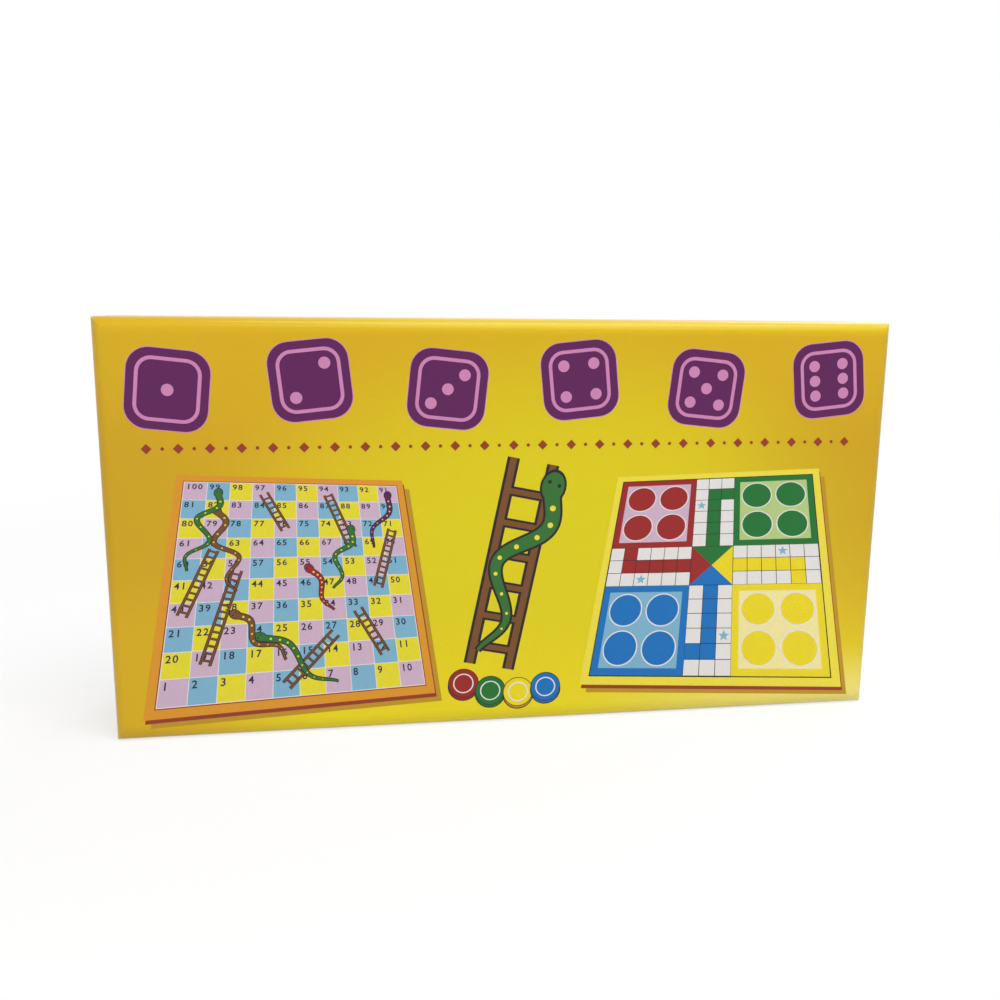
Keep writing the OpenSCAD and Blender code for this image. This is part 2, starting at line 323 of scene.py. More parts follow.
# %% Laminate
LAMINATE = {
    "Roughness": 0.4,
    "Specular IOR Level": 0.12,
    "Coat Weight": 0.3,
    "Coat Roughness": 0.12,
}
FIBRE_SIZE = 0.35 * MM
FIBRE_HEIGHT = 0.006 * MM
SWELL_SIZE = 70 * MM
SWELL_HEIGHT = 0.5 * MM
GRAIN_SIZE = 0.28 * MM


def laminate_normal(place, under=None):
    """Panel swell, then paper fibre over it, as a normal; under is a normal below both."""
    swell = place.noise(SWELL_SIZE, 0.0).bump(SWELL_HEIGHT, under)
    return place.noise(FIBRE_SIZE).bump(FIBRE_HEIGHT, swell)


def grain(place):
    """Fine unevenness of ink on board, from 0 to 1."""
    return place.noise(GRAIN_SIZE, 3.0).rise(0.3, 0.7)


# %% [markdown]
# ### The yellow ground
# The print's yellow is gold in the upper part and at the sides, lemon in the middle, and bright
# along the lower edge; past the folds, on the walls, it is plain gold. Along the top of the upper
# fold a brighter yellow is painted in as a highlight, fading out towards the left. An image could
# hold this, but these are a few soft steps, so they are worked out from the place on the lid: that
# needs no map and stays smooth up close.

# %% Yellow ground
GOLD = screen_rgb(205, 165, 12)
DEEP_GOLD = screen_rgb(172, 126, 8)
LEMON = screen_rgb(211, 197, 5)
BRIGHT = screen_rgb(222, 204, 14)
PALE = screen_rgb(232, 222, 150)
FOLD_R = 3.0 * MM
# Shares of the panel's width, counted from its middle, and of its height, from its foot.
GLOW_MIDDLE, GLOW_SPREAD = (0.06, 0.36), (0.5, 0.68)
FOOT_SIDE, FOOT_TOP = (-0.5, -0.2), (0.02, 0.34)
PALE_SIDE, PALE_TOP = (0.05, 0.45), (0.0, 0.18)
# The top of the upper fold gets a painted highlight, fading out towards the left.
HIGHLIGHT_SIDE, HIGHLIGHT_TOP = (-0.5, 0.0), (0.963, 0.996)
ENDS_SIDE, ENDS_MIDDLE, ENDS_BAND = (0.2, 0.48), 0.58, (0.08, 0.36)
# Shares of the colour that is mixed in.
PALE_SHARE, HIGHLIGHT_SHARE, ENDS_SHARE, GRAIN_SHARE = 0.6, 0.55, 0.28, 0.12


def yellow_ground(place):
    """Gold walls and a gold panel, which is deeper at both ends, lemon in an ellipse about the
    middle, bright and pale at the foot, and a painted highlight along the top of the upper fold."""
    x, y, z = place.axes()
    across, up = x / panel_w, z / panel_h
    wide = (across - GLOW_MIDDLE[0]) / GLOW_SPREAD[0]
    tall = (up - GLOW_MIDDLE[1]) / GLOW_SPREAD[1]
    glow = 1.0 - (wide * wide + tall * tall).rise(0.02, 1.0)
    foot = across.rise(*FOOT_SIDE) * (1.0 - up.rise(*FOOT_TOP))
    pale = across.rise(*PALE_SIDE) * (1.0 - up.rise(*PALE_TOP))
    # Painted highlight: a brighter yellow along the top of the upper fold, weaker towards the left.
    crest_highlight = across.rise(*HIGHLIGHT_SIDE) * up.rise(*HIGHLIGHT_TOP)
    ends = abs(across).rise(*ENDS_SIDE) * (1.0 - abs(up - ENDS_MIDDLE).rise(*ENDS_BAND))
    panel = foot.mix(glow.mix(GOLD, LEMON), BRIGHT)
    panel = (pale * PALE_SHARE).mix(panel, PALE)
    panel = (ends * ENDS_SHARE).mix(panel, DEEP_GOLD)
    # The painted highlight on the upper fold is mixed in last.
    panel = (crest_highlight * HIGHLIGHT_SHARE).mix(panel, BRIGHT)
    wall = y.rise(panel_y + 0.5 * FOLD_R, panel_y + FOLD_R)
    return (grain(place) * GRAIN_SHARE).mix(wall.mix(panel, GOLD), DEEP_GOLD)


# %% [markdown]
# ### Folds, rubs and bare board
# The folds are rubbed pale in places, most of all at the corners, where the film has cracked.
# Inside, and on the cut rim, the bare board shows. The solid's own faces already have the folds'
# radius; the panel also rolls off gently before it reaches them, which is why the upper fold
# catches the light so broadly. Faces could be picked by hand for each of these. Here the depth
# below the outer faces finds them, so they stay right when a size changes.

# %% Lid
FIBRE_WHITE = screen_rgb(222, 218, 208)
RAW_BOARD = screen_rgb(176, 170, 160)
FOLD_SAG = (1 - math.sqrt(0.5)) * FOLD_R
FILM_DEPTH, FILM_EDGE = 0.4 * MM, 0.1 * MM
RIM_CUT = (0.04 * MM, 0.02 * MM)
RUB_WIDTH, RUB_SPOT, RUB_SHARE = 0.9 * MM, 1.3 * MM, 0.55
RUB_FROM = (0.62, 0.8)
CORNER_REACH, CORNER_SHARE = 9 * MM, 0.3
ROLL_REACH, ROLL_DROP, SIDE_ROLL = 5.5 * MM, 1.8 * MM, 0.4
BARE_SPOT, BARE_ROUGHER = 0.5 * MM, 0.4


def round_most(a, b, radius):
    """The larger of two heights above their faces, rounded off where both lie within this radius
    of them: the distance to the fold's axis, less the radius."""
    near_a, near_b = (a + radius).most(0.0), (b + radius).most(0.0)
    return (near_a * near_a + near_b * near_b).root() - radius


def middle_of(a, b, c):
    """The middle one of three heights above the faces of a box: near 0 only along its edges."""
    return a.most(b).least(c.most(b)).least(a.most(c))


def lid_look(place):
    """Printed outside, raw board inside and on the cut rim, pale rubs along the folds."""
    x, y, z = place.axes()
    side = abs(x) - panel_w / 2
    edge = abs(z - panel_h / 2) - panel_h / 2
    front = panel_y - y
    above = round_most(front, edge, FOLD_R).most(round_most(front, side, FOLD_R))
    outside = above.rise(-FILM_DEPTH - FILM_EDGE, -FILM_DEPTH + FILM_EDGE)
    rim = y.rise(lid_high[1] - RIM_CUT[0], lid_high[1] - RIM_CUT[1])
    inked = outside * (1.0 - rim)

    fold = middle_of(side, edge, front)
    corner = ((side + edge + front) / CORNER_REACH + 1.0).most(0.0)
    scuff = place.noise(RUB_SPOT, 6.0) + (fold + FOLD_SAG) / RUB_WIDTH + corner * CORNER_SHARE
    rub = scuff.rise(*RUB_FROM) * RUB_SHARE
    ground = rub.mix(yellow_ground(place), FIBRE_WHITE)
    board = place.noise(BARE_SPOT, 4.0).mix(RAW_BOARD, FIBRE_WHITE)

    near_edge, near_side = ((gap / ROLL_REACH + 1.0).most(0.0) for gap in (edge, side))
    level = 1.0 - near_edge * near_edge - near_side * near_side * SIDE_ROLL
    return {
        "Base Color": inked.mix(board, ground),
        "Roughness": (1.0 - inked).most(rub) * BARE_ROUGHER + LAMINATE["Roughness"],
        "Normal": laminate_normal(place, level.bump(ROLL_DROP)),
    }


dress(["lid"], finish("laminated_yellow", LAMINATE, lid_look))
print("lid finished")

# %% [markdown]
# ## Flat shapes for the prints
# The carton and both faces of the board carry flat prints. A picture on a texture would blur up
# close, so each print is drawn as a draughtsman would: flat shapes laid over each other, in
# millimetres, each with the name of its ink. A shape is an array of points, worked out whole.


# %% Shapes
def rectangle(left, low, right, high):
    """The four corners of an upright rectangle, from the lower left round."""
    return np.array([(left, low), (right, low), (right, high), (left, high)], float)


def upright_square(left, low, side, inset=0.0):
    """A square with its lower left corner at (left, low), then drawn in by inset on all sides."""
    return rectangle(left + inset, low + inset, left + side - inset, low + side - inset)


def ring(x, y, radius, count):
    """Points at equal angles on a circle; with few points it is a diamond or another polygon."""
    angle = np.linspace(0, 2 * math.pi, count, endpoint=False)
    return np.stack([x + radius * np.cos(angle), y + radius * np.sin(angle)], 1)


def disc(x, y, radius):
    """A round spot."""
    return ring(x, y, radius, 40)


def soft_square(side, corner):
    """A square about the origin whose corners are quarter circles, one arc turned four times."""
    angle = np.linspace(0, math.pi / 2, 9)
    arc = corner * np.stack([np.cos(angle), np.sin(angle)], 1) + side / 2 - corner
    quarter = np.array([(0.0, -1.0), (1.0, 0.0)])
    turns = [np.linalg.matrix_power(quarter, k) for k in range(4)]
    return np.concatenate([arc @ turn.T for turn in turns])


def strip(path, width):
    """Quads along a path: each point is moved half the width to both sides, along its normal."""
    along = np.gradient(path, axis=0)
    along /= np.linalg.norm(along, axis=1, keepdims=True)
    reach = np.broadcast_to(width, len(path))[:, None] / 2
    aside = np.stack([-along[:, 1], along[:, 0]], 1) * reach
    left, right = path + aside, path - aside
    return list(np.stack([right[:-1], right[1:], left[1:], left[:-1]], 1))


def line(start, end, width):
    """A straight bar of this width between two points."""
    return strip(np.array([start, end], float), width)


def moved(layers, scale, turn, place):
    """The layers scaled and turned about the origin, which is then put at place."""
    cos, sin = scale * math.cos(turn), scale * math.sin(turn)
    spin = np.array([(cos, -sin), (sin, cos)])
    return [(ink, shape @ spin.T + place) for ink, shape in layers]


def turns_left(loop):
    """True when the loop's signed area, half the sum of its cross products, is positive."""
    ahead = np.roll(loop, -1, axis=0)
    return np.sum(loop[:, 0] * ahead[:, 1] - ahead[:, 0] * loop[:, 1]) > 0


# %% [markdown]
# ### Plain numbers
# The squares of the grid are numbered. Blender's own font gives the ten digits; their outlines
# are read once, as closed loops, and then set side by side as shapes like all the others.

# %% Digits
DIGIT_BOLD = 0.022
DIGIT_STEP = 0.86


def digit_loops(digit):
    """The outline loops of one digit, one unit high: outer loops turn left, holes turn right."""
    curve = bpy.data.curves.new("digit", "FONT")
    curve.body = digit
    curve.resolution_u = 3
    curve.offset = DIGIT_BOLD
    letter = bpy.data.objects.new("digit", curve)
    mesh = bpy.data.meshes.new_from_object(letter)
    points = np.empty(3 * len(mesh.vertices), np.float32)
    mesh.vertices.foreach_get("co", points)
    points = points.reshape(-1, 3)[:, :2].astype(float)
    corners = [list(p.vertices) for p in mesh.polygons]
    sides = {(a, b) for c in corners for a, b in zip(c, c[1:] + c[:1])}
    follow = {a: b for a, b in sides if (b, a) not in sides}
    loops = []
    while follow:
        loop = [min(follow)]
        while loop[-1] in follow:
            loop.append(follow.pop(loop[-1]))
        loops.append(points[loop[:-1]])
    bpy.data.objects.remove(letter)
    bpy.data.curves.remove(curve)
    bpy.data.meshes.remove(mesh)
    height = max(loop[:, 1].max() for loop in loops)
    return [loop / height for loop in loops]


DIGITS = {digit: digit_loops(digit) for digit in "0123456789"}


def number(value, x, y, height, ground):
    """The digits of a number from x rightwards, y being their foot; holes take the ground's ink."""
    layers = []
    for place, digit in enumerate(str(value)):
        for loop in DIGITS[digit]:
            shape = loop * height + (x + place * DIGIT_STEP * height, y)
            layers.append(("number_ink" if turns_left(loop) else ground, shape))
    return layers


print("loops of the digits:", {digit: len(loops) for digit, loops in DIGITS.items()})

# %% [markdown]
# ### The snakes and ladders grid
# Ten rows of ten squares, numbered to and fro from the lower left, in three pale tints. Ladders
# are two rails with rungs. A snake is a wavy strip from its head down to its tail: a dark edge, a
# coloured body that tapers, and a row of light spots.

# %% Snakes and ladders
# A ladder's foot and top square; a snake's head and tail square, its waves and its ink.
LADDERS = ((5, 27), (12, 33), (19, 58), (40, 62), (49, 71), (68, 94), (76, 97))
SNAKES = (
    (24, 7, 1.0, "leaf_green"),
    (38, 16, 1.5, "brown"),
    (55, 34, 1.0, "red"),
    (73, 47, 1.5, "leaf_green"),
    (82, 43, 2.0, "brown"),
    (91, 69, 1.0, "purple"),
    (99, 60, 2.0, "leaf_green"),
)
GRID_TINTS = ("grid_pink", "grid_sky", "grid_lemon")
GRID_COUNT = 10
BORDER = 0.035
# Shares of a square: where its number stands, how high that is, and where a ladder or snake ends.
NUMBER_AT, NUMBER_HIGH = (0.1, 0.61), 0.29
SQUARE_MIDDLE = (0.5, 0.42)
# Shares of a ladder's width: up to its first rung, past its last one, and from rung to rung.
FIRST_RUNG, LAST_RUNG, RUNG_STEP = 0.5, 0.2, 0.8
RUNG_THIN, BAR_OUTLINE = 0.8, 1.8
# Shares of a snake's length, then of its width; its spots are at these points of its path.
SWING = 0.11
TAPER, OUTLINE, SKULL, EYE_AT, EYE_R = 0.8, 0.3, (0.95, 0.72), (0.2, 0.34), 0.13
PATH_POINTS, SPOT_POINTS, SPOT_R = 56, range(6, 48, 5), 0.2


def square_place(value):
    """Column and row of a numbered square: rows run to the right and back in turn."""
    row, step = divmod(value - 1, GRID_COUNT)
    return (step if row % 2 == 0 else GRID_COUNT - 1 - step), row


def heading(start, end):
    """The length of the way from start to end, and the unit vectors along it and to its left."""
    way = np.subtract(end, start)
    length = np.linalg.norm(way)
    along = way / length
    return length, along, np.array([-along[1], along[0]])


def ladder(foot, top, width, bar):
    """Two rails along the line from foot to top, and rungs a little under a width apart."""
    length, along, left = heading(foot, top)
    aside = left * width / 2
    bars = []
    for place in np.arange(width * FIRST_RUNG, length - width * LAST_RUNG, width * RUNG_STEP):
        rung = foot + along * place
        bars.append((rung - aside, rung + aside, RUNG_THIN * bar))
    for side in (-aside, aside):
        bars.append((foot + side, top + side, bar))
    return [
        (ink, quad)
        for ink, grow in (("dark", BAR_OUTLINE), ("brown", 1.0))
        for start, end, thick in bars
        for quad in line(start, end, grow * thick)
    ]


def snake(head, tail, waves, width, ink):
    """A strip from head to tail, swung aside by a sine wave that fades out at both ends."""
    length, along, left = heading(head, tail)
    share = np.linspace(0, 1, PATH_POINTS)
    fade = np.sin(math.pi * share) ** 0.6
    swing = SWING * length * np.sin(2 * math.pi * waves * share) * fade
    path = head + np.outer(share * length, along) + np.outer(swing, left)
    body = width * (1 - TAPER * share**1.5)
    ahead = path[1] - path[0]
    skull = [(ink, ring(0, 0, 1, 24) * (SKULL[0] * width, SKULL[1] * width))]
    turn = math.atan2(ahead[1], ahead[0])
    layers = [("dark", quad) for quad in strip(path, body + OUTLINE * width)]
    layers += [("dark", shape) for _, shape in moved(skull, 1.2, turn, head)]
    layers += [(ink, quad) for quad in strip(path, body)]
    layers += moved(skull, 1.0, turn, head)
    for place in SPOT_POINTS:
        layers.append(("lemon", ring(*path[place], SPOT_R * body[place], 12)))
    for side in (-1, 1):
        eye = head - along * EYE_AT[0] * width + side * left * EYE_AT[1] * width
        layers.append(("dark", ring(*eye, EYE_R * width, 10)))
    return layers


def snakes_grid(side):
    """Every shape of the snakes and ladders face, on a square of this side from its lower left."""
    margin = BORDER * side
    cell = (side - 2 * margin) / GRID_COUNT
    rule = 0.014 * cell
    layers = [
        ("orange", upright_square(0, 0, side)),
        ("maroon", upright_square(0, 0, side, 0.84 * margin)),
        ("paper_white", upright_square(0, 0, side, 0.95 * margin)),
    ]
    for value in range(1, GRID_COUNT**2 + 1):
        column, row = square_place(value)
        left, low = margin + column * cell, margin + row * cell
        tint = GRID_TINTS[(column + 2 * row) % len(GRID_TINTS)]
        layers.append((tint, upright_square(left, low, cell, rule)))
        x, y = left + NUMBER_AT[0] * cell, low + NUMBER_AT[1] * cell
        layers += number(value, x, y, NUMBER_HIGH * cell, tint)

    def middle(value):
        column, row = square_place(value)
        across, up = column + SQUARE_MIDDLE[0], row + SQUARE_MIDDLE[1]
        return margin + across * cell, margin + up * cell

    for foot, top in LADDERS:
        layers += ladder(middle(foot), middle(top), 0.36 * cell, 0.07 * cell)
    for head, tail, waves, ink in SNAKES:
        layers += snake(middle(head), middle(tail), waves, 0.24 * cell, ink)
    return layers


# %% [markdown]
# ### The ludo cross
# Four coloured yards with four spots each, a cross of white squares between them, a coloured home
# run up the middle of each arm, and four triangles that meet in the centre. All of it lies on a
# net of fifteen by fifteen squares, so places are given as columns and rows of that net.

# %% Ludo
LUDO_COUNT = 15
YARD = 6
# In squares of the net: a yard's frame, and the place, white edge and size of its spots.
YARD_FRAME, YARD_SPOT_AT, YARD_SPOT_EDGE, YARD_SPOT = 0.45, 1.28, 1.16, 1.08
YARDS = (("red", 0, 9), ("green", 9, 9), ("yellow", 9, 0), ("blue", 0, 0))
YARD_TINTS = {"red": "grid_pink", "green": "pale_green", "yellow": "cream", "blue": "grid_sky"}
START_SQUARES = {"red": (1, 8), "green": (8, 13), "yellow": (13, 6), "blue": (6, 1)}
STAR_SQUARES = ((2, 6), (6, 12), (12, 8), (8, 2))
HOME_RUNS = {
    "red": [(k, 7) for k in range(1, 6)],
    "green": [(7, k) for k in range(9, 14)],
    "yellow": [(k, 7) for k in range(9, 14)],
    "blue": [(7, k) for k in range(1, 6)],
}


def star(x, y, radius):
    """Ten points that alternate between an outer and an inner circle."""
    reach = np.where(np.arange(10) % 2 == 0, radius, 0.42 * radius)
    angle = np.linspace(0, 2 * math.pi, 10, endpoint=False) + math.pi / 2
    return np.stack([x + reach * np.cos(angle), y + reach * np.sin(angle)], 1)


def yard(ink, left, low, cell):
    """A coloured frame round a pale field with four round spots."""
    size, step = YARD * cell, YARD_SPOT_AT * cell
    field = upright_square(left, low, size, YARD_FRAME * cell)
    layers = [(ink, upright_square(left, low, size)), (YARD_TINTS[ink], field)]
    for across in (-step, step):
        for up in (-step, step):
            spot = left + size / 2 + across, low + size / 2 + up
            layers.append(("paper_white", disc(*spot, YARD_SPOT_EDGE * cell)))
            layers.append((ink, disc(*spot, YARD_SPOT * cell)))
    return layers


def ludo_cross(side):
    """Every shape of the ludo face, on a square of this side from its lower left."""
    margin = BORDER * side
    cell = (side - 2 * margin) / LUDO_COUNT
    rule = 0.022 * cell
    arm = range(YARD, LUDO_COUNT - YARD)
    paint = {square: ink for ink, run in HOME_RUNS.items() for square in run}
    paint.update({square: ink for ink, square in START_SQUARES.items()})
    layers = [
        ("lemon", upright_square(0, 0, side)),
        ("dark", upright_square(0, 0, side, 0.88 * margin)),
    ]
    for ink, column, row in YARDS:
        layers += yard(ink, margin + column * cell, margin + row * cell, cell)
    for column in range(LUDO_COUNT):
        for row in range(LUDO_COUNT):
            if (column in arm) != (row in arm):
                left, low = margin + column * cell, margin + row * cell
                ink = paint.get((column, row), "paper_white")
                layers.append((ink, upright_square(left, low, cell, rule)))
    for column, row in STAR_SQUARES:
        place = margin + (column + 0.5) * cell, margin + (row + 0.5) * cell
        layers.append(("grid_sky", star(*place, 0.38 * cell)))
    half = 1.5 * cell - rule
    centre = np.array((side / 2, side / 2))
    corners = np.array([(-half, -half), (-half, half), (half, half), (half, -half)]) + centre
    for first, ink in enumerate(("red", "green", "yellow", "blue")):
        layers.append((ink, np.array([corners[first], centre, corners[(first + 1) % 4]])))
    return layers


# %% [markdown]
# ### One layer of ink
# Shapes that lie on each other would flicker, and a sheet of paper has no such layers. So the
# outline and all the shapes are cut into one flat net of triangles, by a constrained Delaunay
# triangulation, which also says which shapes cover each triangle. The uppermost one is its ink,
# and what falls outside the outline is trimmed off, as a guillotine does.

# %% Cutting the shapes into one layer
CUT_MM = 1e-3


def one_layer(outline, layers):
    """Points, triangles and the ink of each triangle; bare ground is left out."""
    shapes = [outline] + [shape for _, shape in layers]
    shapes = [shape if turns_left(shape) else shape[::-1] for shape in shapes]
    ends = np.cumsum([len(shape) for shape in shapes])
    faces = [list(range(end - len(shape), end)) for end, shape in zip(ends, shapes)]
    points = [Vector(point) for point in np.concatenate(shapes)]
    cut = delaunay_2d_cdt(points, [], faces, 1, CUT_MM, True)
    corners, triangles, owners = np.array([tuple(point) for point in cut[0]]), cut[2], cut[5]
    kept = [(t, max(o)) for t, o in zip(triangles, owners) if o and min(o) == 0 and max(o) > 0]
    used, index = np.unique([t for t, _ in kept], return_inverse=True)
    return corners[used], index.reshape(-1, 3), [layers[top - 1][0] for _, top in kept]


# %% [markdown]
# ### Inks
# Every ink is printed on the same laminated stock, so only its colour differs: it is slightly
# uneven, as litho ink on board is, and takes its sheen and fibre from the laminate above.

# %% Inks
# Red, green and blue as they look on screen.
INKS = {
    "purple": (86, 22, 80),
    "pink_line": (192, 124, 168),
    "paper_white": (214, 211, 209),
    "dark": (34, 26, 32),
    "number_ink": (46, 36, 62),
    "red": (144, 32, 30),
    "green": (24, 106, 44),
    "yellow": (220, 200, 24),
    "blue": (8, 104, 176),
    "lemon": (222, 206, 60),
    "cream": (226, 214, 150),
    "orange": (206, 140, 34),
    "brown": (112, 70, 34),
    "maroon": (140, 52, 30),
    "leaf_green": (46, 104, 42),
    "pale_green": (168, 190, 120),
    "grid_pink": (192, 164, 186),
    "grid_sky": (116, 166, 192),
    "grid_lemon": (214, 202, 40),
    "gold_shade": (178, 136, 28),
}
INK_SPREAD = 0.06


def ink_finish(name, colour):
    """Laminated ink: the colour, a little darker and lighter from spot to spot."""

    def look(place):
        inked = grain(place).vary(colour, INK_SPREAD)
        return {"Base Color": inked, "Normal": laminate_normal(place)}

    return finish("ink_" + name, LAMINATE, look)


ink_finishes = {name: ink_finish(name, screen_rgb(*rgb)) for name, rgb in INKS.items()}
print(len(ink_finishes), "inks")

# %% [markdown]
# ### A print as a piece
# The triangles become one thin flat sheet: ink and film, a few hundredths of a millimetre thick,
# lying on the face that carries it. It brings its own flat map of the sheet, so that an export
# that bakes it to an image loses no room.

# %% Printed sheets
INK_LIFT = 0.03 * MM
INK_THICKNESS = 0.02 * MM
SHEET_MAP = "OFBake"


def printed(name, body, outline, layers, to_space):
    """A print as one thin piece: to_space(points) puts its points, in metres, on the face."""
    corners, triangles, inks = one_layer(outline, layers)
    used = sorted(set(inks))
    mesh = bpy.data.meshes.new(name)
    mesh.from_pydata(to_space(corners * MM).tolist(), [], triangles.tolist())
    for ink in used:
        mesh.materials.append(ink_finishes[ink])
    mesh.polygons.foreach_set("material_index", [used.index(ink) for ink in inks])
    share = (corners - corners.min(0)) / np.ptp(corners, axis=0)
    mesh.uv_layers.new(name=SHEET_MAP).uv.foreach_set("vector", share[triangles].ravel())
    sheet = add_object(name, mesh)
    film = sheet.modifiers.new("ink_thickness", "SOLIDIFY")
    film.thickness = INK_THICKNESS
    film.offset = -1.0
    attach(sheet, body)
    print(name, len(triangles), "triangles in", len(used), "inks")


# %% [markdown]
# ## The front of the carton
# Across the top runs a row of six die faces, purple with a pink line inside, above a row of small
# diamonds. Below, the two game boards are pictured at a slant, one on each side, with a ladder, a
# snake and a few counters between them.

# %% Die faces and ornament
cover_w, cover_h = panel_w / MM, panel_h / MM
PRINT_MARGIN = FOLD_R / MM + 0.2
TILE = 26.0
TILE_TILT = math.radians(6)
TILE_DROP, TILE_RISE = 21.5, 1.5
ORNAMENT_DROP, ORNAMENT_STEP, ORNAMENT_ENDS = 42.0, 5.0, (15.0, 14.0)
DIAMOND_R, DOT_R = 1.7, 0.6
# Side and corner of a tile's soft squares, from the lowest up, and its pips, as shares of its side.
TILE_SQUARES = (
    ("pink_line", 1.02, 0.28),
    ("purple", 1.0, 0.27),
    ("pink_line", 0.8, 0.2),
    ("purple", 0.71, 0.155),
)
TILE_PIP_STEP, TILE_PIP_R = 0.2, 0.075
PIP_STEPS = {
    1: [(0, 0)],
    2: [(-1, -1), (1, 1)],
    3: [(-1, -1), (0, 0), (1, 1)],
    4: [(-1, -1), (1, 1), (-1, 1), (1, -1)],
    5: [(-1, -1), (1, 1), (0, 0), (-1, 1), (1, -1)],
    6: [(-1, -1), (-1, 0), (-1, 1), (1, -1), (1, 0), (1, 1)],
}


def die_tile(value, side):
    """A soft square with a thin line inside it and the pips of one die face, about the origin."""
    squares = [(ink, soft_square(wide * side, soft * side)) for ink, wide, soft in TILE_SQUARES]
    spots = TILE_PIP_STEP * side * np.array(PIP_STEPS[value])
    return squares + [("pink_line", disc(*spot, TILE_PIP_R * side)) for spot in spots]


def tile_row():
    """The six die faces, tilted and raised in turn, and a row of diamonds and dots below them."""
    layers = []
    for value in PIP_STEPS:
        lean = (-1) ** value
        place = (cover_w * (value - 0.5) / 6, cover_h - TILE_DROP + TILE_RISE * lean)
        layers += moved(die_tile(value, TILE), 1.0, TILE_TILT * lean, place)
    places = np.arange(ORNAMENT_ENDS[0], cover_w - ORNAMENT_ENDS[1], ORNAMENT_STEP)
    for step, x in enumerate(places):
        count, radius = (4, DIAMOND_R) if step % 2 == 0 else (12, DOT_R)
        layers.append(("maroon", ring(x, cover_h - ORNAMENT_DROP, radius, count)))
    return layers


def on_front(points):
    """From the panel's lower left corner to the front face of the lid."""
    level = np.full(len(points), panel_y - INK_LIFT)
    return np.stack([points[:, 0] + lid_low[0], level, points[:, 1] + lid_low[2]], 1)


def front_print(name, layers):
    """One part of the front print, trimmed to the panel inside its folds."""
    panel = rectangle(PRINT_MARGIN, PRINT_MARGIN, cover_w - PRINT_MARGIN, cover_h - PRINT_MARGIN)
    printed(name, "lid", panel, layers, on_front)


front_print("front_tiles", tile_row())

# %% [markdown]
# The boards are the same drawings as on the real board, seen at a slant. A flat thing in a picture
# is a projective image of itself: where its four corners go settles where every point goes.

# %% Pictured boards
BOARD_MM = board_side / MM
GRID_CORNERS = ((9.0, 7.0), (108.0, 12.0), (97.0, 88.0), (24.0, 91.0))
LUDO_CORNERS = ((160.0, 12.5), (261.0, 6.6), (246.0, 90.0), (172.0, 88.0))
PAGE_DROP = ((0.6, -1.4), (2.4, -3.0))


def at_a_slant(layers, side, corners):
    """The layers of a square, drawn so that its corners, from the lower left round, come to the
    given ones: the eight numbers of the projective map solve two linear equations a corner."""
    equations = [
        row
        for (a, b), (x, y) in zip(upright_square(0, 0, side), corners)
        for row in ((a, b, 1, 0, 0, 0, -a * x, -b * x), (0, 0, 0, a, b, 1, -a * y, -b * y))
    ]
    numbers = np.linalg.solve(np.array(equations), np.ravel(corners))
    lens = np.append(numbers, 1.0).reshape(3, 3)
    drawn = []
    for ink, shape in layers:
        seen = np.column_stack([shape, np.ones(len(shape))]) @ lens.T
        drawn.append((ink, seen[:, :2] / seen[:, 2:]))
    return drawn


def pictured_board(layers, corners):
    """A soft-looking shadow, the board's dark edge a little lower, and then its face."""
    edge, shadow = (np.array(corners) + drop for drop in PAGE_DROP)
    return [("gold_shade", shadow), ("maroon", edge)] + at_a_slant(layers, BOARD_MM, corners)


front_print("front_grid", pictured_board(snakes_grid(BOARD_MM), GRID_CORNERS))
front_print("front_ludo", pictured_board(ludo_cross(BOARD_MM), LUDO_CORNERS))

# %% [markdown]
# Between the boards stands a ladder with a plain snake on it, drawn by the functions of the grid at
# a larger size, and at its foot lie four counters. All of it is one more sheet of ink.

# %% Ladder, snake and counters
COUNTERS = (
    ("red", 118.0, 15.0),
    ("green", 127.6, 11.9),
    ("yellow", 137.6, 11.0),
    ("blue", 147.5, 12.4),
)
COUNTER_R = 5.2
LADDER_FOOT, LADDER_TOP, LADDER_WIDTH, LADDER_BAR = (127.0, 21.0), (142.0, 94.0), 14.0, 2.4
SNAKE_HEAD, SNAKE_TAIL, SNAKE_WAVES, SNAKE_WIDTH = (149.0, 85.0), (123.0, 27.0), 1.5, 5.4


def counter_picture(ink, x, y, radius):
    """A counter seen from above: its edge below it, a flat face and a thin light ring."""
    edge = y - 0.18 * radius
    return [
        ("dark", disc(x, edge, 1.07 * radius)),
        ("gold_shade" if ink == "yellow" else ink, disc(x, edge, radius)),
        ("dark", disc(x, y, 1.05 * radius)),
        (ink, disc(x, y, radius)),
        ("paper_white", disc(x, y, 0.7 * radius)),
        (ink, disc(x, y, 0.62 * radius)),
    ]


middle_layers = ladder(LADDER_FOOT, LADDER_TOP, LADDER_WIDTH, LADDER_BAR)
middle_layers += snake(SNAKE_HEAD, SNAKE_TAIL, SNAKE_WAVES, SNAKE_WIDTH, "leaf_green")
for counter_ink, counter_x, counter_y in COUNTERS:
    middle_layers += counter_picture(counter_ink, counter_x, counter_y, COUNTER_R)
front_print("front_ladder", middle_layers)

# %% [markdown]
# ## The folding board
# The board opens to a square: the number grid is on the inner faces and ludo on the outer ones.
# Each design is drawn once, as it is seen on the open board, and cut along the crease. The lower
# half lies on the back leaf as drawn. The upper half lies on the front leaf, which is folded down
# over it, so its points are turned about the crease. Ludo is seen from the other side, so it runs
# against X.

# %% Prints of the board
CORNER_MM = 4.0
# A design, 1 where it runs along X or -1 against it, its gaps at the edges and the crease, a slot.
FACES = {
    "snakes": (snakes_grid, 1, 0.3, 0.05, "grid_print"),
    "ludo": (ludo_cross, -1, 1.2, 0.4, "ludo_print"),
}


